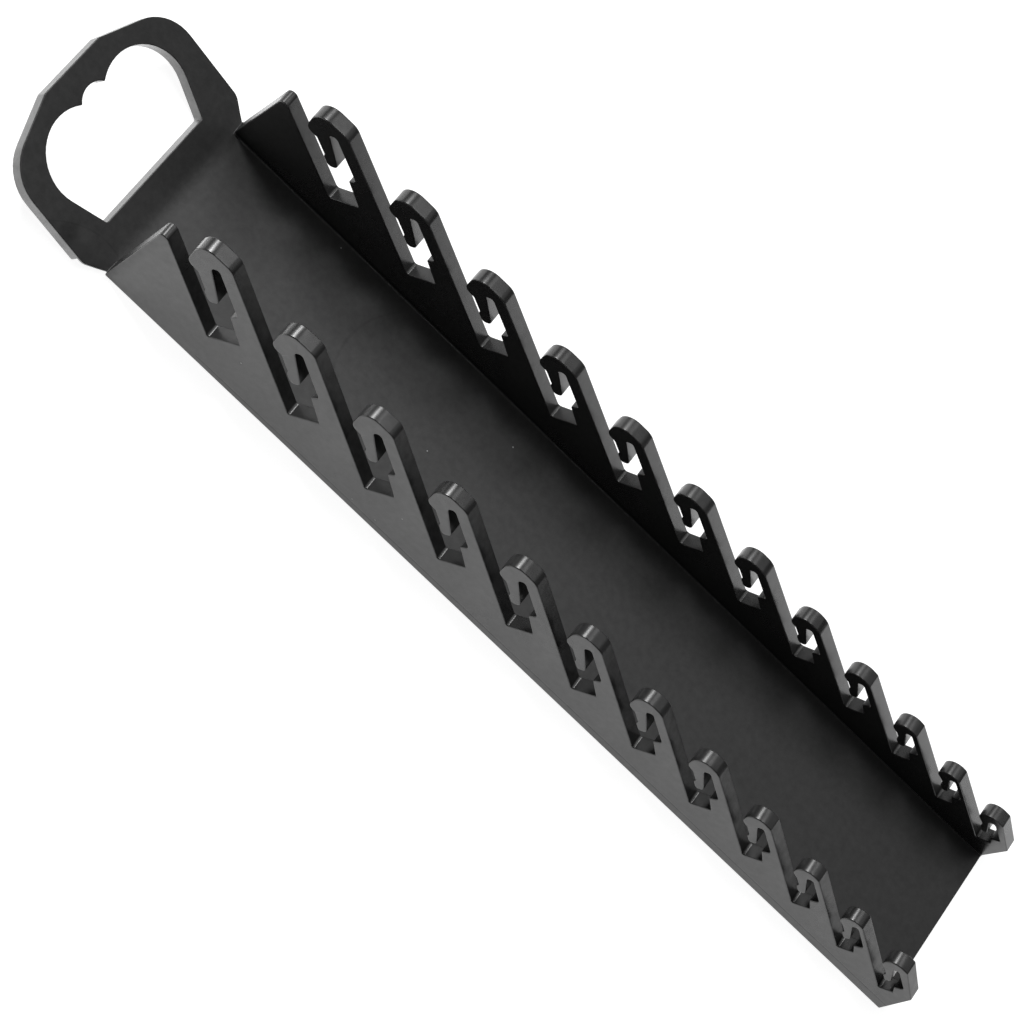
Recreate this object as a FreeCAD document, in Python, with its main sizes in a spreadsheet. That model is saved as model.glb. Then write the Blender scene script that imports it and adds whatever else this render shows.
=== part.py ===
import FreeCAD, Part
import math
import os
import Sketcher

# Wrench rack: one moulding in the form of a deep channel that carries a row of combination
# wrenches, the largest at the handle end. Both walls are cut into the same row of slanting
# slots. Beside each slot stands a tooth, and from the tooth's head a springy finger hangs back
# over the slot and grips the wrench's shaft. The floor of the channel runs on into a flat
# carrying handle that slopes up at the end of the largest slot.
#
# The origin is on the underside, in the middle plane, under the end of the walls at the handle.
# +X runs along the channel to the smallest slot, the handle lies towards -X, and +Z is up.
# Lengths are in millimetres and angles in degrees.

SIZES = {
    # Channel
    "channel_length": 386.0,     # from the handle end of the walls to the far end
    "channel_width": 80.0,       # over the outside of the walls, at the underside
    "wall_thickness": 5.7,       # at the underside
    "wall_lean": 3.2,            # the outer faces lean in towards the middle
    "wall_draft": 0.5,           # the inner faces lean this much further
    "floor_thickness": 2.8,
    "floor_corner": 0.8,         # inside round between floor and wall
    "under_edge": 0.8,           # round along the edges of the underside
    "post_draft": 2.0,           # the wall's end at the handle leans back
    "post_top": 2.3,             # round on top of the end post
    # Row of slots, in their own order from the largest to the smallest
    "slot_count": 12,
    "slot_slant": 40.56,         # a slot climbs towards the handle at this angle
    "slot_start": 38.6,          # from the walls' end to the bottom corner of the largest slot
    "pitch_first": 38.49,
    "pitch_last": 20.18,
    "pitch_swell": 0.82,         # the middle of the row is spaced this much wider
    "seat_z_first": 18.3,        # height of the slot's bottom corner
    "seat_z_last": 11.45,
    "seat_width_first": 14.1,    # bottom of the slot, across it
    "seat_width_last": 6.0,
    "seat_corner": 1.1,
    # Lip and shelf on the tooth, across and up the slot from its bottom corner
    "lip_across_first": 15.0,
    "lip_across_last": 6.9,
    "lip_up_first": 13.4,
    "lip_up_last": 3.4,
    "shelf_rise": 0.7,           # the shelf behind the lip climbs to the pocket's side
    "shelf_corner": 1.2,
    # Pocket behind the finger
    "pocket_across_first": 18.5,
    "pocket_across_last": 11.1,
    "pocket_up_first": 35.4,
    "pocket_up_last": 14.7,
    "pocket_corner_first": 1.4,
    "pocket_corner_last": 1.0,
    # Hanging finger
    "root_across_first": 15.2,   # its front where it leaves the head
    "root_across_last": 8.9,
    "tip_across_first": 12.0,    # its front at the tip
    "tip_across_last": 6.2,
    "tip_up_first": 18.2,
    "tip_up_last": 6.4,
    "tip_corner_first": 2.0,
    "tip_corner_last": 1.1,
    "pad_across_first": 7.5,     # back of the thick pad at the tip
    "pad_across_last": 3.6,
    "pad_up_first": 23.3,
    "pad_up_last": 9.4,
    "pad_slope": 1.0,
    "arm_across_first": 8.3,     # back of the arm above the pad
    "arm_across_last": 4.9,
    # Head of the tooth
    "hook_up_first": 32.6,       # inner corner under the nose
    "hook_up_last": 13.5,
    "hook_corner": 0.9,
    "nose_across_first": 4.8,
    "nose_across_last": 4.3,
    "nose_up_first": 36.5,
    "nose_up_last": 16.2,
    "nose_corner_first": 3.3,
    "nose_corner_last": 2.0,
    "crest_across_first": 15.1,
    "crest_across_last": 9.4,
    "crest_up_first": 47.5,
    "crest_up_last": 22.3,
    "crest_corner_first": 6.5,
    "crest_corner_last": 5.0,
    "heel_up_first": 37.0,       # where the top facet meets the back of the tooth
    "heel_up_last": 15.6,
    "heel_corner": 1.0,
    "last_tooth_across": 14.8,   # from the smallest slot's back edge to the last tooth's heel
    "end_height": 20.8,          # upright part of the walls' far end
    # Handle
    "handle_slope": 16.0,
    "handle_thickness": 5.4,
    "handle_bend": 25.0,         # radius of the bend, on top
    "handle_reach": 59.1,        # from the walls' end, measured along the slope
    "handle_width": 89.4,
    "neck_width": 78.6,          # where the handle leaves the walls' end
    "neck_thickness": 1.6,       # beside the opening's end the handle is hollowed from below
    "neck_inner": 33.0,          # the hollow begins this far from the middle
    "neck_reach": 10.6,          # and ends this far from the walls' end
    "handle_waist": 8.3,         # the sides spread to the full width over this length
    "handle_waist_corner": 6.0,
    "handle_shoulder": 48.1,     # where the sides would meet the slanting ends
    "handle_corner": 17.8,
    "handle_end_width": 29.6,
    "handle_end_corner": 3.0,
    # Opening for the fingers, with two large lobes and a small one between them
    "grip_start": 12.0,
    "grip_start_width": 55.0,
    "grip_start_corner": 0.8,
    "lobe_radius": 17.5,
    "lobe_reach": 32.3,
    "lobe_spacing": 32.6,
    "middle_lobe_radius": 8.1,
    "middle_lobe_reach": 41.7,
    "cusp_corner": 0.5,
}
OVERLAP = 1.0       # how far a cut runs past the face that it leaves by
LARGEST_WRENCH = 19
CLOSE = 0.02        # two places nearer than this are the same

doc = FreeCAD.newDocument("wrench_rack")
sheet = doc.addObject("Spreadsheet::Sheet", "sizes")
for row, (alias, size) in enumerate(SIZES.items(), start=1):
    sheet.set(f"A{row}", alias)
    sheet.set(f"B{row}", str(size))
    sheet.setAlias(f"B{row}", alias)
doc.recompute()

body = doc.addObject("PartDesign::Body", "rack_body")
body.Label = "rack_body"
PLANES = {plane.Role: plane for plane in body.Origin.OriginFeatures}


def value(expression):
    """Number that an expression of the sheet's sizes gives now."""
    result = sheet.evalExpression(expression)
    return float(getattr(result, "Value", result))


def law(name, number):
    """Size of slot or tooth number 1, 2, 3..., run evenly from the first one to the last."""
    first, last = f"sizes.{name}_first", f"sizes.{name}_last"
    return f"({first} + ({last} - {first}) * {number - 1} / (sizes.slot_count - 1))"


def new_sketch(name, plane):
    sketch = body.newObject("Sketcher::SketchObject", name)
    sketch.AttachmentSupport = [(PLANES[plane], "")]
    sketch.MapMode = "FlatFace"
    return sketch


def hold_size(sketch, constraint, name, expression):
    """Adds a constraint with a size and binds it to its expression."""
    index = sketch.addConstraint(constraint)
    sketch.renameConstraint(index, name)
    sketch.setExpression(f".Constraints.{name}", expression)


def hold_point(sketch, geometry, end, name, x, y):
    """Holds a point at x and y from the sketch's origin."""
    for kind, axis, expression in (("DistanceX", -2, x), ("DistanceY", -1, y)):
        size = value(expression)
        if expression == "0":
            sketch.addConstraint(Sketcher.Constraint("PointOnObject", geometry, end, axis))
        elif size < 0:
            constraint = Sketcher.Constraint(kind, geometry, end, -1, 1, -size)
            hold_size(sketch, constraint, f"{name}_{kind[-1].lower()}", f"-({expression})")
        else:
            constraint = Sketcher.Constraint(kind, -1, 1, geometry, end, size)
            hold_size(sketch, constraint, f"{name}_{kind[-1].lower()}", expression)


def corner_arc(before, corner, after, radius):
    """Arc that rounds a corner, its two ends on the way round, and whether it turns left."""
    back, ahead = before.sub(corner).normalize(), after.sub(corner).normalize()
    half = back.getAngle(ahead) / 2
    entry = corner + back * (radius / math.tan(half))
    leave = corner + ahead * (radius / math.tan(half))
    centre = corner + (back + ahead).normalize() * (radius / math.sin(half))
    left = ahead.cross(back).z > 0
    start, stop = (entry, leave) if left else (leave, entry)
    angles = [math.atan2(point.y - centre.y, point.x - centre.x) for point in (start, stop)]
    circle = Part.Circle(centre, FreeCAD.Vector(0, 0, 1), radius)
    return Part.ArcOfCircle(circle, angles[0], angles[1]), entry, leave, left


def draw_outline(sketch, corners):
    """Closed outline of straight edges through corners (name, x, y, radius), radius None if sharp."""
    count = len(corners)
    spots = [FreeCAD.Vector(value(x), value(y), 0) for name, x, y, radius in corners]
    entries, leaves, rounds = list(spots), list(spots), {}
    for k, (name, x, y, radius) in enumerate(corners):
        if radius is not None:
            arc = corner_arc(spots[k - 1], spots[k], spots[(k + 1) % count], value(radius))
            rounds[k] = arc[0], arc[3]
            entries[k], leaves[k] = arc[1], arc[2]
    first = sketch.GeometryCount
    for k in range(count):
        sketch.addGeometry(Part.LineSegment(leaves[k], entries[(k + 1) % count]), False)
    for k, (name, x, y, radius) in enumerate(corners):
        edge_in, edge_out = first + (k - 1) % count, first + k
        if radius is None:
            sketch.addConstraint(Sketcher.Constraint("Coincident", edge_in, 2, edge_out, 1))
            hold_point(sketch, edge_out, 1, name, x, y)
            continue
        arc, left = rounds[k]
        curve = sketch.addGeometry(arc, False)
        mark = sketch.addGeometry(Part.Point(spots[k]), True)
        start, stop = (1, 2) if left else (2, 1)
        sketch.addConstraint([
            Sketcher.Constraint("Tangent", edge_in, 2, curve, start),
            Sketcher.Constraint("Tangent", curve, stop, edge_out, 1),
            Sketcher.Constraint("PointOnObject", mark, 1, edge_in),
            Sketcher.Constraint("PointOnObject", mark, 1, edge_out)])
        hold_size(sketch, Sketcher.Constraint("Radius", curve, value(radius)), f"{name}_round", radius)
        hold_point(sketch, mark, 1, name, x, y)


def extrude(kind, name, sketch, length=None, both_ways=False):
    """Pad or Pocket of a sketch. A Pocket with no length cuts right through."""
    before = body.Shape.Volume if body.Tip else 0.0
    feature = body.newObject(f"PartDesign::{kind}", name)
    feature.Profile = sketch
    if length is None:
        feature.Type = "ThroughAll"
    else:
        feature.Type = "Length"
        feature.setExpression("Length", length)
    if both_ways:
        feature.SideType = "Symmetric"
    doc.recompute()
    change = body.Shape.Volume - before
    if (change > 0) != (kind == "Pad"):
        raise RuntimeError(f"{name} changed the volume by {change:.1f}")
    return feature


def round_edges(name, expression, wanted):
    """Fillet of the body's edges that lie at one of the wanted places (x, y, z), None for any."""
    tip = body.Tip
    edges = []
    for index, edge in enumerate(tip.Shape.Edges, start=1):
        middle = edge.BoundBox.Center
        for place in wanted:
            if all(at is None or abs(at - here) < CLOSE for at, here in zip(place, middle)):
                edges.append(f"Edge{index}")
                break
    fillet = body.newObject("PartDesign::Fillet", name)
    fillet.Base = (tip, edges)
    fillet.setExpression("Radius", expression)
    doc.recompute()
    return fillet


def handle_sketch(name, depth="0"):
    """Sketch parallel to the handle's upper face and below it, its y axis at the walls' end."""
    sketch = new_sketch(name, "XY_Plane")
    across, down = f"-{depth} * sin(sizes.handle_slope)", f"{depth} * cos(sizes.handle_slope)"
    height = f"sizes.floor_thickness - {down}"
    sketch.AttachmentOffset = FreeCAD.Placement(
        FreeCAD.Vector(value(across), 0, value(height)),
        FreeCAD.Rotation(FreeCAD.Vector(0, 1, 0), value("sizes.handle_slope")))
    sketch.setExpression("AttachmentOffset.Base.x", across)
    sketch.setExpression("AttachmentOffset.Base.z", height)
    sketch.setExpression("AttachmentOffset.Rotation.Angle", "sizes.handle_slope")
    doc.recompute()
    return sketch


def handle_side_view():
    """The sheet of floor and handle, seen from the side, bent up at the walls' end."""
    sketch = new_sketch("handle_side", "XZ_Plane")
    slope = "tan(sizes.handle_slope)"
    depth = "(sizes.handle_thickness / cos(sizes.handle_slope))"
    end = f"(sizes.handle_reach + {2 * OVERLAP})"
    bottom_bend = f"-(({depth} - sizes.floor_thickness) / {slope})"
    top = "sizes.floor_thickness"
    draw_outline(sketch, [
        ("inside_bottom", "sizes.handle_bend", "0", None),
        ("inside_top", "sizes.handle_bend", top, None),
        ("top_bend", "0", top, "sizes.handle_bend"),
        ("end_top", f"-{end}", f"{top} + {end} * {slope}", None),
        ("end_bottom", f"-{end}", f"{top} + {end} * {slope} - {depth}", None),
        ("bottom_bend", bottom_bend, "0", "sizes.handle_bend + sizes.handle_thickness"),
    ])
    extrude("Pad", "handle_sheet", sketch, f"sizes.handle_width + {2 * OVERLAP}", both_ways=True)


def handle_plan():
    """What lies outside the handle's outline is cut away, one side at a time."""
    inside = "sizes.handle_bend + sizes.floor_thickness"
    past_end = f"-(sizes.handle_reach + {5 * OVERLAP})"
    spread = f"({OVERLAP} * (sizes.handle_width - sizes.neck_width) / sizes.handle_waist)"
    neck = f"((sizes.neck_width - {spread}) / 2)"
    for side, sign in (("near", "-"), ("far", "")):
        sketch = handle_sketch(f"handle_{side}_outline")
        edge = f"{sign}(sizes.handle_width / 2 + {2 * OVERLAP})"
        in_wall = f"{sign}(sizes.channel_width / 2 - sizes.wall_thickness / 2)"
        draw_outline(sketch, [
            ("inner", inside, in_wall, None),
            ("neck_inside", f"{OVERLAP}", in_wall, None),
            ("neck", f"{OVERLAP}", f"{sign}{neck}", None),
            ("waist", "-sizes.handle_waist", f"{sign}(sizes.handle_width / 2)",
             "sizes.handle_waist_corner"),
            ("shoulder", "-sizes.handle_shoulder", f"{sign}(sizes.handle_width / 2)",
             "sizes.handle_corner"),
            ("end", "-sizes.handle_reach", f"{sign}(sizes.handle_end_width / 2)",
             "sizes.handle_end_corner"),
            ("end_middle", "-sizes.handle_reach", f"{sign}({OVERLAP})", None),
            ("beyond_middle", past_end, f"{sign}({OVERLAP})", None),
            ("beyond_end", past_end, edge, None),
            ("beyond_inner", inside, edge, None),
        ])
        extrude("Pocket", f"handle_{side}_trim", sketch, both_ways=True)
    sketch = handle_sketch("handle_end_outline")
    draw_outline(sketch, [
        ("end_near", "-sizes.handle_reach", f"-({2 * OVERLAP})", None),
        ("end_far", "-sizes.handle_reach", f"{2 * OVERLAP}", None),
        ("past_far", past_end, f"{2 * OVERLAP}", None),
        ("past_near", past_end, f"-({2 * OVERLAP})", None),
    ])
    extrude("Pocket", "handle_end_trim", sketch, both_ways=True)


def neck_hollows():
    """The handle is thin between its waist and the walls' end, outside the opening's width."""
    sketch = handle_sketch("neck_outline", "sizes.neck_thickness")
    wide = f"(sizes.handle_width / 2 + {OVERLAP})"
    for side, sign in (("near", "-"), ("far", "")):
        draw_outline(sketch, [
            (f"{side}_front", f"{3 * OVERLAP}", f"{sign}sizes.neck_inner", None),
            (f"{side}_back", "-sizes.neck_reach", f"{sign}sizes.neck_inner", None),
            (f"{side}_back_edge", "-sizes.neck_reach", f"{sign}{wide}", None),
            (f"{side}_front_edge", f"{3 * OVERLAP}", f"{sign}{wide}", None),
        ])
    extrude("Pocket", "neck_relief", sketch)


def handle_opening():
    """Straight edge, two sides that run tangent into the large lobes, and the small lobe."""
    sketch = handle_sketch("grip_outline")
    start, half = -value("sizes.grip_start"), value("sizes.grip_start_width / 2")
    big = FreeCAD.Vector(-value("sizes.lobe_reach"), value("sizes.lobe_spacing / 2"), 0)
    small = FreeCAD.Vector(-value("sizes.middle_lobe_reach"), 0, 0)
    big_radius, small_radius = value("sizes.lobe_radius"), value("sizes.middle_lobe_radius")
    corner = FreeCAD.Vector(start, half, 0)
    to_corner = corner - big
    turn = math.acos(big_radius / to_corner.Length)
    touch_angle = math.atan2(to_corner.y, to_corner.x) + turn
    touch = big + FreeCAD.Vector(math.cos(touch_angle), math.sin(touch_angle), 0) * big_radius
    apart = small - big
    along = (big_radius ** 2 - small_radius ** 2 + apart.Length ** 2) / (2 * apart.Length)
    aside = math.sqrt(big_radius ** 2 - along ** 2)
    unit = FreeCAD.Vector(apart).normalize()
    cusp = big + unit * along + FreeCAD.Vector(unit.y, -unit.x, 0) * aside
    if cusp.x > small.x:
        cusp = big + unit * along - FreeCAD.Vector(unit.y, -unit.x, 0) * aside
    up = FreeCAD.Vector(0, 0, 1)

    def mirror(point):
        return FreeCAD.Vector(point.x, -point.y, 0)

    def angle(point, centre):
        return math.atan2(point.y - centre.y, point.x - centre.x)

    def arc(centre, radius, a, b):
        return Part.ArcOfCircle(Part.Circle(centre, up, radius), angle(a, centre), angle(b, centre))

    sketch.addGeometry([
        Part.LineSegment(mirror(corner), corner),
        Part.LineSegment(corner, touch),
        arc(big, big_radius, touch, cusp),
        arc(small, small_radius, cusp, mirror(cusp)),
        arc(mirror(big), big_radius, mirror(cusp), mirror(touch)),
        Part.LineSegment(mirror(touch), mirror(corner))], False)
    straight, far_side, far_lobe, middle_lobe, near_lobe, near_side = range(6)
    sketch.addConstraint([
        Sketcher.Constraint("Coincident", straight, 2, far_side, 1),
        Sketcher.Constraint("Tangent", far_side, 2, far_lobe, 1),
        Sketcher.Constraint("Coincident", far_lobe, 2, middle_lobe, 1),
        Sketcher.Constraint("Coincident", middle_lobe, 2, near_lobe, 1),
        Sketcher.Constraint("Tangent", near_lobe, 2, near_side, 1),
        Sketcher.Constraint("Coincident", near_side, 2, straight, 1)])
    centres = (("far_lobe", far_lobe, ""), ("near_lobe", near_lobe, "-"))
    for name, curve, sign in centres:
        hold_point(sketch, curve, 3, name, "-sizes.lobe_reach", f"{sign}(sizes.lobe_spacing / 2)")
        radius = Sketcher.Constraint("Radius", curve, big_radius)
        hold_size(sketch, radius, f"{name}_round", "sizes.lobe_radius")
    hold_point(sketch, middle_lobe, 3, "middle_lobe", "-sizes.middle_lobe_reach", "0")
    radius = Sketcher.Constraint("Radius", middle_lobe, small_radius)
    hold_size(sketch, radius, "middle_lobe_round", "sizes.middle_lobe_radius")
    hold_point(sketch, straight, 1, "near_corner", "-sizes.grip_start", "-(sizes.grip_start_width / 2)")
    hold_point(sketch, straight, 2, "far_corner", "-sizes.grip_start", "sizes.grip_start_width / 2")
    extrude("Pocket", "grip_opening", sketch, both_ways=True)
    half_depth = FreeCAD.Vector(0, 0, -value("sizes.handle_thickness") / 2)
    for name, spot, radius in (("grip_corners", corner, "sizes.grip_start_corner"),
                               ("grip_cusps", cusp, "sizes.cusp_corner")):
        middles = [sketch.Placement.multVec(end + half_depth) for end in (spot, mirror(spot))]
        round_edges(name, radius, [(middle.x, middle.y, middle.z) for middle in middles])


def channel():
    """The channel's section, floor and leaning walls, run along its length."""
    sketch = new_sketch("channel_section", "YZ_Plane")
    outer = "(sizes.channel_width / 2)"
    inner = f"({outer} - sizes.wall_thickness)"
    outer_lean = "tan(sizes.wall_lean)"
    inner_lean = "tan(sizes.wall_lean + sizes.wall_draft)"
    top, floor = f"({BLANK_HEIGHT})", "sizes.floor_thickness"
    draw_outline(sketch, [
        ("near_foot", f"-{outer}", "0", "sizes.under_edge"),
        ("far_foot", outer, "0", "sizes.under_edge"),
        ("far_outer_top", f"{outer} - {top} * {outer_lean}", top, None),
        ("far_inner_top", f"{inner} - {top} * {inner_lean}", top, None),
        ("far_floor", f"{inner} - {floor} * {inner_lean}", floor, "sizes.floor_corner"),
        ("near_floor", f"-({inner} - {floor} * {inner_lean})", floor, "sizes.floor_corner"),
        ("near_inner_top", f"-({inner} - {top} * {inner_lean})", top, None),
        ("near_outer_top", f"-({outer} - {top} * {outer_lean})", top, None),
    ])
    extrude("Pad", "channel_blank", sketch, "sizes.channel_length")


def place_on_slant(sketch, x, z):
    """Puts a sketch's origin at x and z and turns its x axis across the slots."""
    sketch.setExpression("AttachmentOffset.Base.x", x)
    sketch.setExpression("AttachmentOffset.Base.y", z)
    sketch.setExpression("AttachmentOffset.Rotation.Angle", "90 - sizes.slot_slant")
    doc.recompute()


def tooth_width(number):
    """From a slot's back edge to the back of its tooth, which is the next slot's back edge."""
    if number == COUNT:
        return "sizes.last_tooth_across"
    drop = f"({law('seat_z', number)} - {law('seat_z', number + 1)})"
    return f"({pitch(number)} * sin(sizes.slot_slant) - {drop} * cos(sizes.slot_slant))"


def pitch(number):
    """From a slot's bottom corner to the next one's, along the channel."""
    share = f"({number - 1} / (sizes.slot_count - 1))"
    return f"({law('pitch', number)} + sizes.pitch_swell * 4 * {share} * (1 - {share}))"


def slot(number, x):
    """One slot, the pocket behind its finger, and the air above its tooth, cut from both walls."""
    name = f"slot_{LARGEST_WRENCH + 1 - number}"
    sketch = new_sketch(f"{name}_outline", "XZ_Plane")
    place_on_slant(sketch, x, law("seat_z", number))
    back, heel = tooth_width(number), law("heel_up", number)
    crest_across, crest_up = law("crest_across", number), law("crest_up", number)
    past_heel = f"{heel} - {OVERLAP} * ({crest_up} - {heel}) / ({back} - {crest_across})"
    shelf_up = f"{law('lip_up', number)} + sizes.shelf_rise"
    draw_outline(sketch, [
        ("seat_back", "0", "0", "sizes.seat_corner"),
        ("seat_front", law("seat_width", number), "0", None),
        ("lip", law("lip_across", number), law("lip_up", number), None),
        ("shelf", law("pocket_across", number), shelf_up, "sizes.shelf_corner"),
        ("pocket_front", law("pocket_across", number), law("pocket_up", number),
         law("pocket_corner", number)),
        ("root", law("root_across", number), law("pocket_up", number), law("pocket_corner", number)),
        ("tip_front", law("tip_across", number), law("tip_up", number), law("tip_corner", number)),
        ("tip_back", law("pad_across", number), law("tip_up", number), law("tip_corner", number)),
        ("pad", law("pad_across", number), law("pad_up", number), None),
        ("arm", law("arm_across", number), f"{law('pad_up', number)} + sizes.pad_slope", None),
        ("hook", law("arm_across", number), law("hook_up", number), "sizes.hook_corner"),
        ("nose", law("nose_across", number), law("nose_up", number), law("nose_corner", number)),
        ("crest", crest_across, crest_up, law("crest_corner", number)),
        ("past_heel", f"{back} + {OVERLAP}", past_heel, None),
        ("above_front", f"{back} + {OVERLAP}", SLOT_REACH, None),
        ("above_back", "0", SLOT_REACH, None),
    ])
    extrude("Pocket", name, sketch, both_ways=True)
    return sketch


def slot_place(sketch, across, up):
    """Place on the side view, x and z, of a point given across and up a slot."""
    slant = math.radians(value("sizes.slot_slant"))
    origin = sketch.AttachmentOffset.Base
    x = origin.x + across * math.sin(slant) - up * math.cos(slant)
    z = origin.y + across * math.cos(slant) + up * math.sin(slant)
    return x, z


def ends(last_sketch):
    """The far end drops along the last tooth's back, and the post at the handle leans back."""
    sketch = new_sketch("far_end_outline", "XZ_Plane")
    last_x = f"{last_sketch.Name}.AttachmentOffset.Base.x"
    place_on_slant(sketch, last_x, law("seat_z", COUNT))
    run = f"(sizes.channel_length - {last_x} / 1 mm)"
    rise = f"(sizes.end_height - {law('seat_z', COUNT)})"
    end_across = f"({run} * sin(sizes.slot_slant) + {rise} * cos(sizes.slot_slant))"
    end_up = f"({rise} * sin(sizes.slot_slant) - {run} * cos(sizes.slot_slant))"
    beyond = f"({end_across} + {BLANK_HEIGHT})"
    draw_outline(sketch, [
        ("end_top", end_across, end_up, None),
        ("low_front", beyond, end_up, None),
        ("high_front", beyond, SLOT_REACH, None),
        ("high_back", "sizes.last_tooth_across", SLOT_REACH, None),
        ("heel", "sizes.last_tooth_across", law("heel_up", COUNT), None),
    ])
    extrude("Pocket", "far_end", sketch, both_ways=True)
    sketch = new_sketch("post_end_outline", "XZ_Plane")
    lean = f"({BLANK_HEIGHT} - {POST_FOOT} + {OVERLAP}) * tan(sizes.post_draft)"
    draw_outline(sketch, [
        ("foot", "0", POST_FOOT, None),
        ("head", lean, f"{BLANK_HEIGHT} + {OVERLAP}", None),
        ("past_head", f"-({OVERLAP})", f"{BLANK_HEIGHT} + {OVERLAP}", None),
        ("past_foot", f"-({OVERLAP})", f"{POST_FOOT} + {OVERLAP} * tan(sizes.handle_slope)", None),
    ])
    extrude("Pocket", "post_end", sketch, both_ways=True)


def post_apex(first_sketch):
    """Where the post's end meets the back edge of the largest slot, x and z."""
    slant = math.radians(value("sizes.slot_slant"))
    draft = math.tan(math.radians(value("sizes.post_draft")))
    origin = first_sketch.AttachmentOffset.Base
    over_foot = origin.y - value(POST_FOOT)
    up = (origin.x - over_foot * draft) / (math.cos(slant) + math.sin(slant) * draft)
    return slot_place(first_sketch, 0, up)


def heel_rounds(sketches):
    """The heel of every tooth, at both walls."""
    places = []
    for number, sketch in enumerate(sketches, start=1):
        x, z = slot_place(sketch, value(tooth_width(number)), value(law("heel_up", number)))
        places.append((x, None, z))
    round_edges("heels", "sizes.heel_corner", places)


COUNT = int(value("sizes.slot_count"))
BLANK_HEIGHT = "(sizes.seat_z_first + sizes.crest_up_first)"
SLOT_REACH = f"({BLANK_HEIGHT} / sin(sizes.slot_slant))"
BEND_RISE = "sizes.handle_bend * (1 - sqrt(1 - tan(sizes.handle_slope / 2) ^ 2))"
POST_FOOT = f"(sizes.floor_thickness + {BEND_RISE})"

handle_side_view()
handle_plan()
neck_hollows()
handle_opening()
channel()
slots = [slot(1, "sizes.slot_start")]
for slot_number in range(2, COUNT + 1):
    place = f"{slots[-1].Name}.AttachmentOffset.Base.x / 1 mm + {pitch(slot_number - 1)}"
    slots.append(slot(slot_number, place))
ends(slots[-1])
apex_x, apex_z = post_apex(slots[0])
round_edges("post_tops", "sizes.post_top", [(apex_x, None, apex_z)])
heel_rounds(slots)

for part in doc.Objects:
    if "Invalid" in part.State or "Error" in part.State:
        raise RuntimeError(f"{part.Name} failed: {part.State}")
solid = body.Shape
if solid.isNull() or not solid.isValid() or len(solid.Solids) != 1:
    raise RuntimeError("rack_body is not one valid solid")
os.makedirs("parts", exist_ok=True)
solid.exportStep(f"parts/{body.Label}.step")
box = solid.BoundBox
print(f"rack_body: {box.XLength:.1f} x {box.YLength:.1f} x {box.ZLength:.1f} mm,"
      f" z from {box.ZMin:.2f}, {solid.Volume / 1000:.1f} cm3")
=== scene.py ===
import math

import bmesh
import bpy
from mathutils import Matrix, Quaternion, Vector

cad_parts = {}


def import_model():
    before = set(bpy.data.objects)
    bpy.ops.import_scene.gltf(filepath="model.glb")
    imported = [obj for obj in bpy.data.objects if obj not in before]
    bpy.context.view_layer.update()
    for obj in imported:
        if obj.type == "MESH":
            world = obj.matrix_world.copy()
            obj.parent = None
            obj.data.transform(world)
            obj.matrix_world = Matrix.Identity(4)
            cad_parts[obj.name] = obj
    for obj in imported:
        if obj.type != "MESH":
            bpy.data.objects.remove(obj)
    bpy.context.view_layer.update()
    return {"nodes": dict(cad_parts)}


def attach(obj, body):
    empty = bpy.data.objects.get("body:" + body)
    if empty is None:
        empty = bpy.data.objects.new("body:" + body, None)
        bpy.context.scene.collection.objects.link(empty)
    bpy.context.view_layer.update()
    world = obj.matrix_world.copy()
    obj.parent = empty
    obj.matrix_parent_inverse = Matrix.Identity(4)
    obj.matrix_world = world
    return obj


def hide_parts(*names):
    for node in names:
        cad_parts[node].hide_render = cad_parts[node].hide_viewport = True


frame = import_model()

# Black moulded wrench rack on a white sheet, seen from above the near wall at the handle's side.
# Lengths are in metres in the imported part's own frame: +X runs from the handle to the smallest
# slot, +Y from the near wall to the far one, and +Z up.

MM = 0.001

# Places on the part, from its own sizes
FLOOR_TOP = 2.8 * MM
INNER_WALL = 34.3 * MM      # from the middle to a wall's inner face, at the underside
OUTER_LEAN = math.tan(math.radians(3.2))
INNER_LEAN = math.tan(math.radians(3.7))
SLOT_SLANT = math.radians(40.56)

# Camera of the photograph
CAMERA_PLACE = Vector((-0.0629, -0.5467, 1.0445))
CAMERA_AIM = Vector((0.1640, 0.0032, 0.0))
CAMERA_ROLL = math.radians(63.53)
LENS = 117.98            # for a sensor 36 mm wide

# Rounding of the moulding's edges
EDGE_ROUND = 0.45 * MM
SHARP = math.radians(28.0)
HEEL_ROUND = 1.9 * MM       # how far a heel's soft round reaches along each face

# Plastic
PLASTIC_COLOUR = 0.018
GRAINED_ROUGHNESS = 0.45    # channel floor and handle
SMOOTH_ROUGHNESS = 0.29     # walls and teeth
SHINE = 0.5                 # specular level
HANDLE_SHINE = 0.34

# Round marks that the ejector pins left on the channel's floor, x and y in millimetres
PIN_MARKS = [(48.8, 26.1), (93.4, 21.7), (165.2, 25.5), (269.7, 22.5)]
PIN_RADIUS = 3.6 * MM

# Seam that the mould's halves left along the outer walls
SEAM_HEIGHT = 3.1 * MM                  # where it would meet the walls' end at the handle
SEAM_CLIMB = 0.0065                     # for each metre along the wall
SEAM_START = (40.5 * MM, 42.0 * MM)     # it fades in between these places along the wall
OUTER_WALL = (38.4 * MM, 39.0 * MM)     # and between these distances from the middle

# Bowed lines where streams of the melt met: a bow's tip, x and y, and how fast it bends away
FLOOR_FLOW = (78.0 * MM, 7.0 * MM)
FLOOR_BEND = 17.6
FLOOR_FLOW_END = (27.0 * MM, 31.0 * MM)     # it fades out between these places across
ROOT_FLOW = (-5.0 * MM, -32.3 * MM)
ROOT_BEND = 25.4

# Stains at the handle's near root, centre and radius
SMUDGE = ((-19.0 * MM, -41.5 * MM), 5.0 * MM)
BLOTCH = ((-14.5 * MM, -37.5 * MM), 4.5 * MM)

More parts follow.
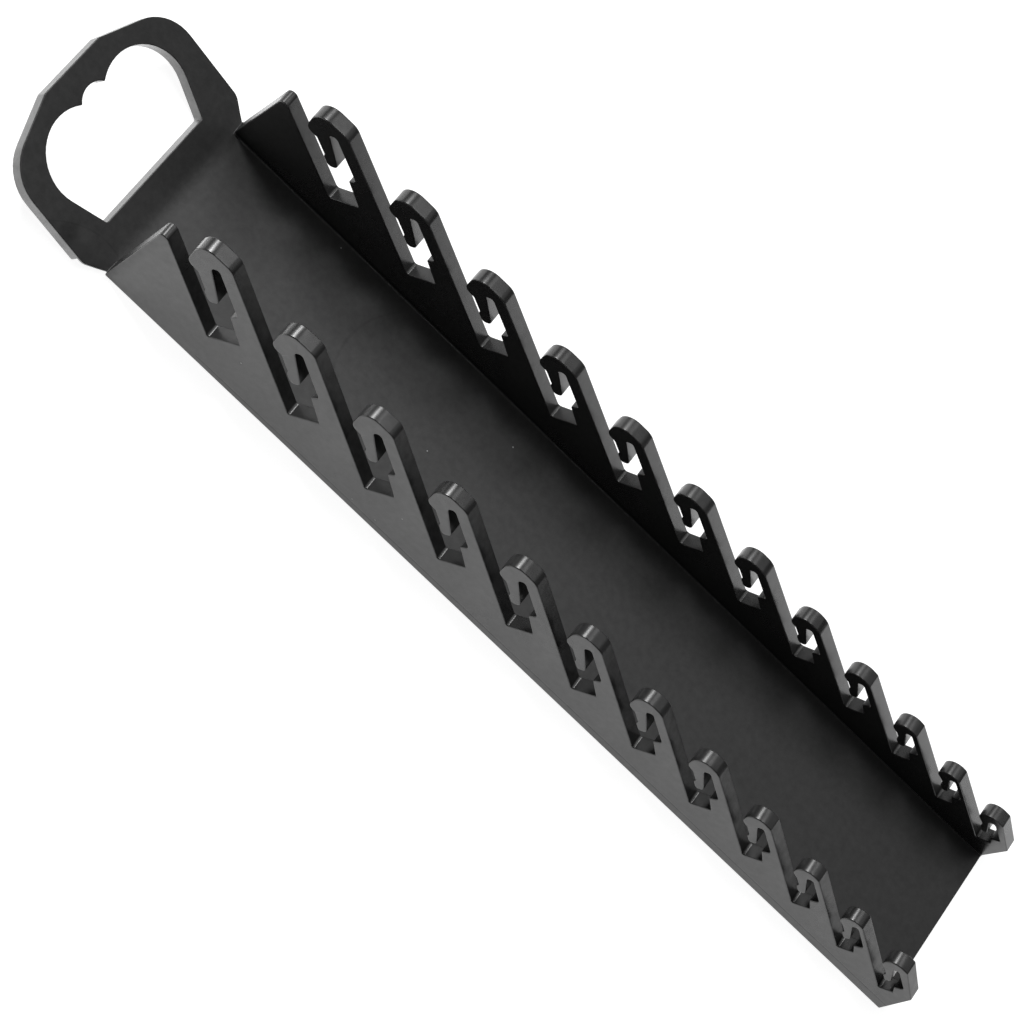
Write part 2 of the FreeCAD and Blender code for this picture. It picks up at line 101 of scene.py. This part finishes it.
# Specks of dust in millimetres, x and z on the near wall, and x and y on the floor
WALL_SPECKS = [(53.0, 21.2), (115.1, 5.7), (126.0, 6.1), (130.7, 19.8)]
FLOOR_SPECKS = [(55.3, 30.7), (149.0, 21.0), (247.0, -16.0)]
SPECK_RADIUS = 0.40 * MM
DUST_SCALE = 95.0           # cells to a metre for the fine dust
DUST_SHARE = 0.10           # cells that hold a grain

# Light
WHITE = (1.0, 1.0, 1.0, 1.0)
SHEET_GREY = (0.45, 0.45, 0.45, 1.0)
SHEET_GLOW = 0.90        # what the sheet lacks of plain white where the lamps light it
SHEET_HALF = 3.0
AMBIENT = 0.06

# Name, place, aim, width, height and watts
LAMPS = [
    ("wide_box", (0.32, 0.55, 1.25), (0.25, 0.05, 0.0), 1.5, 1.0, 2.4),
    ("back_box", (0.00, 0.45, 1.20), (0.1, 0.05, 0.0), 0.5, 0.7, 1.5),
    ("over_box", (0.10, 0.00, 1.25), (0.15, 0.0, 0.0), 0.6, 0.25, 2.5),
    ("end_box", (-0.9, 0.4, 0.9), (0.1, 0.0, 0.0), 0.30, 0.30, 14.0),
    ("side_box", (1.30, 0.70, 0.09), (0.2, 0.0, 0.05), 1.2, 0.20, 0.85),
    ("table_box", (-0.062, -0.015, 0.0005), (-0.062, -0.015, 1.0), 0.116, 0.15, 0.11),
]


def new_material(name):
    material = bpy.data.materials.new(name)
    material.use_nodes = True
    material.node_tree.nodes.clear()
    return material


class Nodes:
    """Builds a material's nodes: each method adds some and gives back an output socket."""

    def __init__(self, material):
        self.tree = material.node_tree

    def add(self, kind, **settings):
        node = self.tree.nodes.new(kind)
        for name, setting in settings.items():
            setattr(node, name, setting)
        return node

    def feed(self, socket, source):
        if isinstance(source, bpy.types.NodeSocket):
            self.tree.links.new(source, socket)
        else:
            socket.default_value = source

    def math(self, operation, *sources):
        node = self.add("ShaderNodeMath", operation=operation)
        for socket, source in zip(node.inputs, sources):
            self.feed(socket, source)
        return node.outputs[0]

    def join(self, operation, sources):
        """One operation over any number of sources, such as their sum or product."""
        result, *others = sources
        for source in others:
            result = self.math(operation, result, source)
        return result

    def noise(self, place, scale, detail=2.0, roughness=0.5, distortion=0.0):
        node = self.add("ShaderNodeTexNoise")
        self.feed(node.inputs["Vector"], place)
        node.inputs["Scale"].default_value = scale
        node.inputs["Detail"].default_value = detail
        node.inputs["Roughness"].default_value = roughness
        node.inputs["Distortion"].default_value = distortion
        return node.outputs["Fac"]

    def remap(self, source, low, high, to_low=0.0, to_high=1.0, smooth=True):
        kind = "SMOOTHSTEP" if smooth else "LINEAR"
        node = self.add("ShaderNodeMapRange", interpolation_type=kind, clamp=True)
        for socket, number in zip(node.inputs, (source, low, high, to_low, to_high)):
            self.feed(socket, number)
        return node.outputs[0]

    def spread(self, noise, reach):
        """A noise's usual range, evenly spread from minus to plus the reach."""
        return self.remap(noise, 0.3, 0.7, -reach, reach, smooth=False)

    def line(self, distance, core, edge):
        """1 where a distance is near zero, falling off to 0 from the core to the edge."""
        return self.remap(self.math("ABSOLUTE", distance), core, edge, 1.0, 0.0)

    def parts(self, vector):
        node = self.add("ShaderNodeSeparateXYZ")
        self.feed(node.inputs[0], vector)
        return node.outputs

    def distance(self, place, centre):
        squares = [self.math("POWER", self.math("SUBTRACT", along, middle), 2.0)
                   for along, middle in zip(place, centre)]
        return self.math("SQRT", self.math("ADD", *squares))

    def spot(self, place, centre, radius):
        """1 at a centre on two axes, falling off to 0 at the radius."""
        return self.remap(self.distance(place, centre), 0.3 * radius, radius, 1.0, 0.0)

    def bump(self, height, strength):
        node = self.add("ShaderNodeBump")
        node.inputs["Strength"].default_value = strength
        node.inputs["Distance"].default_value = 0.05 * MM
        self.feed(node.inputs["Height"], height)
        return node.outputs[0]


def pin_rings(nodes, x, y, on_floor):
    rings = []
    for mark_x, mark_y in PIN_MARKS:
        distance = nodes.distance((x, y), (mark_x * MM, mark_y * MM))
        rings.append(nodes.line(nodes.math("SUBTRACT", distance, PIN_RADIUS), 0.05 * MM, 0.35 * MM))
    return nodes.math("MULTIPLY", nodes.join("ADD", rings), on_floor)


def mould_seam(nodes, x, y, z):
    height = nodes.math("ADD", nodes.math("MULTIPLY", x, SEAM_CLIMB), SEAM_HEIGHT)
    return nodes.join("MULTIPLY", [
        nodes.line(nodes.math("SUBTRACT", z, height), 0.10 * MM, 0.45 * MM),
        nodes.remap(x, *SEAM_START),
        nodes.remap(nodes.math("ABSOLUTE", y), *OUTER_WALL)])


def bow(nodes, along, across, tip, bend):
    """Distance from a bowed line with its tip at a place along and across it."""
    tip_along, tip_across = tip
    square = nodes.math("POWER", nodes.math("SUBTRACT", across, tip_across), 2.0)
    return nodes.math("ADD", nodes.math("SUBTRACT", along, tip_along),
                      nodes.math("MULTIPLY", square, bend))


def flow_lines(nodes, x, y, on_floor):
    """The line on the floor, and the one at the handle's near root."""
    floor_flow = nodes.join("MULTIPLY", [
        nodes.line(bow(nodes, x, y, FLOOR_FLOW, -FLOOR_BEND), 0.1 * MM, 0.9 * MM),
        on_floor,
        nodes.remap(y, *FLOOR_FLOW_END, 1.0, 0.0)])
    root_x, root_y = ROOT_FLOW
    root_flow = nodes.math("MULTIPLY",
                           nodes.line(bow(nodes, y, x, (root_y, root_x), ROOT_BEND),
                                      0.1 * MM, 0.6 * MM),
                           nodes.remap(x, -1.5 * MM, 0.0, 1.0, 0.0))
    return nodes.math("ADD", floor_flow, root_flow)


def dust_grains(nodes, place, x, y, z, on_floor):
    """The specks that stand out, and a fine scatter of grains."""
    near_wall = nodes.remap(y, -34.0 * MM, -32.0 * MM, 1.0, 0.0)
    grains = []
    for across, spots, there in ((z, WALL_SPECKS, near_wall), (y, FLOOR_SPECKS, on_floor)):
        for along, over in spots:
            spot = nodes.spot((x, across), (along * MM, over * MM), SPECK_RADIUS)
            grains.append(nodes.math("MULTIPLY", there, spot))

    cells = nodes.add("ShaderNodeTexVoronoi", feature="F1")
    nodes.feed(cells.inputs["Vector"], place)
    cells.inputs["Scale"].default_value = DUST_SCALE
    close = nodes.remap(cells.outputs["Distance"], 0.022, 0.034, 1.0, 0.0)
    pick = nodes.add("ShaderNodeSeparateColor")
    nodes.feed(pick.inputs[0], cells.outputs["Color"])
    chosen = nodes.math("GREATER_THAN", pick.outputs[0], 1.0 - DUST_SHARE)
    scatter = nodes.math("MULTIPLY", close, chosen)
    return nodes.math("ADD", scatter, nodes.join("ADD", grains))


def painted_shade_faces(nodes, normal, x, y, on_teeth):
    """Painted shade: the near teeth's backs and the posts' ends, picked by which way they face, get
    less sheen so that they render darker.
    """
    normal_x, _, normal_z = nodes.parts(normal)
    back = nodes.math("ADD", nodes.math("MULTIPLY", normal_x, math.sin(SLOT_SLANT)),
                      nodes.math("MULTIPLY", normal_z, math.cos(SLOT_SLANT)))
    near_backs = nodes.math("MULTIPLY", nodes.remap(back, 0.93, 0.995),
                            nodes.remap(y, -20.0 * MM, -10.0 * MM, 1.0, 0.0))
    post_ends = nodes.join("MULTIPLY", [
        nodes.remap(normal_x, -0.98, -0.9, 1.0, 0.0),
        nodes.remap(x, -3.0 * MM, -2.0 * MM),
        nodes.remap(x, 5.0 * MM, 7.0 * MM, 1.0, 0.0)])
    return nodes.math("MULTIPLY", nodes.math("MAXIMUM", near_backs, post_ends), on_teeth)


def plastic():
    """Black moulded plastic: fine grain, uneven sheen, marks of the mould, a little dust, and
    painted shade on some faces.
    """
    material = new_material("black_plastic")
    nodes = Nodes(material)
    where = nodes.add("ShaderNodeTexCoord")
    place = where.outputs["Object"]
    x, y, z = nodes.parts(place)

    off_middle = nodes.math("ADD", nodes.math("ABSOLUTE", y),
                            nodes.math("MULTIPLY", z, INNER_LEAN))
    on_wall = nodes.remap(off_middle, INNER_WALL - 0.8 * MM, INNER_WALL - 0.2 * MM)
    past_handle = nodes.remap(x, -2.0 * MM, 6.0 * MM)
    on_teeth = nodes.math("MULTIPLY", on_wall, past_handle)
    on_floor = nodes.remap(z, FLOOR_TOP + 0.15 * MM, FLOOR_TOP + 0.6 * MM, 1.0, 0.0)

    grain = nodes.noise(place, 2400.0, detail=3.0, roughness=0.6)
    mottle = nodes.noise(place, 42.0, detail=4.0, roughness=0.55, distortion=0.4)
    haze = nodes.noise(place, 11.0)
    patches = nodes.noise(place, 330.0, detail=3.0, roughness=0.6)
    ring = pin_rings(nodes, x, y, on_floor)
    seam = mould_seam(nodes, x, y, z)
    flow = flow_lines(nodes, x, y, on_floor)
    dust = dust_grains(nodes, place, x, y, z, on_floor)
    # painted shade: faces that are given less sheen so that they render darker
    painted_shade = painted_shade_faces(nodes, where.outputs["Normal"], x, y, on_teeth)

    shade = nodes.join("ADD", [
        nodes.spread(mottle, 0.002),
        nodes.spread(haze, 0.002),
        nodes.math("MULTIPLY", ring, 0.003),
        nodes.math("MULTIPLY", dust, 0.45),
        PLASTIC_COLOUR])
    level = nodes.math("MAXIMUM", shade, 0.004)
    colour = nodes.add("ShaderNodeCombineColor")
    for socket in colour.inputs[:3]:
        nodes.feed(socket, level)
    roughness = nodes.join("ADD", [
        nodes.spread(mottle, 0.03),
        nodes.spread(haze, 0.03),
        nodes.spread(grain, 0.02),
        nodes.remap(on_teeth, 0.0, 1.0, GRAINED_ROUGHNESS, SMOOTH_ROUGHNESS, smooth=False)])
    shine = nodes.join("ADD", [
        # painted shade: less sheen on the near teeth's backs and the posts' ends
        nodes.math("MULTIPLY", painted_shade, -0.30),
        nodes.remap(past_handle, 0.0, 1.0, HANDLE_SHINE, SHINE, smooth=False),
        nodes.spread(patches, 0.06),
        nodes.math("MULTIPLY", seam, -0.22),
        nodes.math("MULTIPLY", flow, -0.06),
        nodes.math("MULTIPLY", nodes.spot((x, y), *SMUDGE), -0.16),
        nodes.math("MULTIPLY", nodes.spot((x, y), *BLOTCH), 0.10)])
    relief = nodes.join("ADD", [
        nodes.math("MULTIPLY", grain, 0.5),
        mottle,
        nodes.math("MULTIPLY", patches, 0.7),
        nodes.math("MULTIPLY", ring, 0.4),
        nodes.math("MULTIPLY", seam, -3.0)])

    shader = nodes.add("ShaderNodeBsdfPrincipled")
    nodes.feed(shader.inputs["Base Color"], colour.outputs[0])
    nodes.feed(shader.inputs["Roughness"], roughness)
    nodes.feed(shader.inputs["Specular IOR Level"], shine)
    nodes.feed(shader.inputs["Normal"], nodes.bump(relief, 0.25))
    shader.inputs["IOR"].default_value = 1.6
    output = nodes.add("ShaderNodeOutputMaterial")
    nodes.feed(output.inputs["Surface"], shader.outputs[0])
    return material


def paper():
    """White sheet with a faint tooth. Seen or mirrored it is white, but for the rack's shadow."""
    material = new_material("white_sheet")
    nodes = Nodes(material)
    place = nodes.add("ShaderNodeTexCoord").outputs["Object"]
    shader = nodes.add("ShaderNodeBsdfPrincipled")
    shader.inputs["Base Color"].default_value = SHEET_GREY
    shader.inputs["Roughness"].default_value = 0.9
    nodes.feed(shader.inputs["Normal"], nodes.bump(nodes.noise(place, 900.0), 0.05))
    ray = nodes.add("ShaderNodeLightPath")
    surface = shader.outputs[0]
    for kind, strength in (("Is Camera Ray", SHEET_GLOW), ("Is Glossy Ray", 1.0)):
        glow = nodes.add("ShaderNodeEmission")
        glow.inputs["Color"].default_value = WHITE
        glow.inputs["Strength"].default_value = strength
        bright = nodes.add("ShaderNodeAddShader")
        nodes.feed(bright.inputs[0], shader.outputs[0])
        nodes.feed(bright.inputs[1], glow.outputs[0])
        mix = nodes.add("ShaderNodeMixShader")
        nodes.feed(mix.inputs[0], ray.outputs[kind])
        nodes.feed(mix.inputs[1], surface)
        nodes.feed(mix.inputs[2], bright.outputs[0])
        surface = mix.outputs[0]
    output = nodes.add("ShaderNodeOutputMaterial")
    nodes.feed(output.inputs["Surface"], surface)
    return material


def heel_edges(shape):
    """The edges along each heel's small round: the last of the top and the first of the back."""
    back_normal = Vector((math.sin(SLOT_SLANT), 0.0, math.cos(SLOT_SLANT)))
    tops, backs = [], []
    for edge in shape.edges:
        along = edge.verts[1].co - edge.verts[0].co
        if len(edge.link_faces) != 2 or abs(along.y) < 4 * MM or edge.verts[0].co.z < 12 * MM:
            continue
        if max(abs(along.x), abs(along.z)) > 1 * MM or edge.calc_face_angle() < math.radians(1):
            continue
        for face in edge.link_faces:
            if face.calc_area() < 8 * MM * MM:
                continue
            if face.normal.dot(back_normal) > 0.9999:
                backs.append((edge, face))
            elif abs(face.normal.y) < 0.01 and face.normal.z > 0.995:
                tops.append((edge, face))
    return tops, backs


def edge_middle(edge):
    return (edge.verts[0].co + edge.verts[1].co) / 2


def heel_corners(shape):
    """Where each heel's top and back would meet without the round: x and z, and the wall's y."""
    tops, backs = heel_edges(shape)
    corners = []
    for back_edge, back_face in backs:
        middle = edge_middle(back_edge)
        for top_edge, top_face in tops:
            gap = edge_middle(top_edge) - middle
            if gap.length > 1.2 * MM or top_edge is back_edge:
                continue
            n, m = top_face.normal, back_face.normal
            from_top, from_back = n.dot(top_edge.verts[0].co), m.dot(back_edge.verts[0].co)
            below = n.x * m.z - n.z * m.x
            corner_x = (from_top * m.z - n.z * from_back) / below
            corner_z = (n.x * from_back - from_top * m.x) / below
            corners.append((corner_x, corner_z, middle.y))
    return corners


def soften_heels(shape):
    """Turns each heel's small round back into a corner, then rounds it as softly as the real one."""
    heel_lines = []
    for corner_x, corner_z, middle_y in heel_corners(shape):
        side = math.copysign(1.0, middle_y)
        ends = []
        for outer, lean in ((True, OUTER_LEAN), (False, INNER_LEAN)):
            near = [vert for vert in shape.verts
                    if math.hypot(vert.co.x - corner_x, vert.co.z - corner_z) < 0.6 * MM
                    and vert.co.y * middle_y > 0 and (abs(vert.co.y) > abs(middle_y)) == outer]
            y = near[0].co.y - side * lean * (corner_z - near[0].co.z)
            corner = Vector((corner_x, y, corner_z))
            bmesh.ops.pointmerge(shape, verts=near, merge_co=corner)
            ends.append(corner)
        heel_lines.append(ends)
    edges = []
    for a, b in heel_lines:
        for edge in shape.edges:
            first, second = edge.verts[0].co, edge.verts[1].co
            if min((first - a).length + (second - b).length,
                   (first - b).length + (second - a).length) < 1e-6:
                edges.append(edge)
    bmesh.ops.bevel(shape, geom=edges, offset=HEEL_ROUND, offset_type="OFFSET", segments=8,
                    profile=0.5, affect="EDGES", clamp_overlap=False)


def softened(node):
    """The moulding with its sharp edges rounded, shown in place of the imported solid."""
    mesh = node.data.copy()
    mesh.name = "rack"
    shape = bmesh.new()
    shape.from_mesh(mesh)
    bmesh.ops.remove_doubles(shape, verts=shape.verts, dist=1e-6)
    bmesh.ops.dissolve_limit(shape, angle_limit=math.radians(0.6), verts=shape.verts,
                             edges=shape.edges, delimit={"NORMAL"})
    soften_heels(shape)
    sharp = [edge for edge in shape.edges if edge.calc_face_angle(0.0) > SHARP]
    bmesh.ops.bevel(shape, geom=sharp, offset=EDGE_ROUND, offset_type="OFFSET", segments=3,
                    profile=0.5, affect="EDGES", clamp_overlap=False, loop_slide=True)
    bmesh.ops.triangulate(shape, faces=shape.faces)
    shape.to_mesh(mesh)
    shape.free()
    mesh.shade_smooth()
    mesh.set_sharp_from_angle(angle=math.radians(40.0))
    piece = bpy.data.objects.new("rack", mesh)
    bpy.context.collection.objects.link(piece)
    even = piece.modifiers.new("even_normals", "WEIGHTED_NORMAL")
    even.mode = "FACE_AREA"
    even.keep_sharp = True
    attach(piece, "root")
    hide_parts("rack_body")
    return piece


def sheet_floor():
    mesh = bpy.data.meshes.new("floor")
    corners = [(-SHEET_HALF, -SHEET_HALF, 0), (SHEET_HALF, -SHEET_HALF, 0),
               (SHEET_HALF, SHEET_HALF, 0), (-SHEET_HALF, SHEET_HALF, 0)]
    mesh.from_pydata(corners, [], [(0, 1, 2, 3)])
    floor = bpy.data.objects.new("floor", mesh)
    floor.location.z = -0.2 * MM
    bpy.context.collection.objects.link(floor)
    mesh.materials.append(paper())


def softbox(name, place, aim, width, height, power):
    light = bpy.data.lights.new(name, "AREA")
    light.shape = "RECTANGLE"
    light.size, light.size_y = width, height
    light.energy = power
    box = bpy.data.objects.new(name, light)
    box.location = place
    box.rotation_euler = (Vector(aim) - Vector(place)).to_track_quat("-Z", "Y").to_euler()
    bpy.context.collection.objects.link(box)


def world():
    """Even light from all round, and white where the camera looks past the sheet."""
    sky = bpy.data.worlds.new("studio")
    sky.use_nodes = True
    tree = sky.node_tree
    tree.nodes.clear()
    ray = tree.nodes.new("ShaderNodeLightPath")
    mix = tree.nodes.new("ShaderNodeMixShader")
    tree.links.new(ray.outputs["Is Camera Ray"], mix.inputs[0])
    for socket, strength in ((mix.inputs[1], AMBIENT), (mix.inputs[2], 1.0)):
        light = tree.nodes.new("ShaderNodeBackground")
        light.inputs["Color"].default_value = WHITE
        light.inputs["Strength"].default_value = strength
        tree.links.new(light.outputs[0], socket)
    output = tree.nodes.new("ShaderNodeOutputWorld")
    tree.links.new(mix.outputs[0], output.inputs["Surface"])
    bpy.context.scene.world = sky


def camera():
    data = bpy.data.cameras.new("camera")
    data.sensor_width = 36.0
    data.lens = LENS
    data.clip_end = 20.0
    view = bpy.data.objects.new("camera", data)
    view.location = CAMERA_PLACE
    level = (CAMERA_AIM - CAMERA_PLACE).to_track_quat("-Z", "Y")
    view.rotation_mode = "QUATERNION"
    view.rotation_quaternion = level @ Quaternion((0.0, 0.0, 1.0), CAMERA_ROLL)
    bpy.context.collection.objects.link(view)
    bpy.context.scene.camera = view


rack = softened(frame["nodes"]["rack_body"])
rack.data.materials.clear()
rack.data.materials.append(plastic())

sheet_floor()
world()
camera()
for lamp in LAMPS:
    softbox(*lamp)
bpy.context.scene.view_settings.view_transform = "Standard"
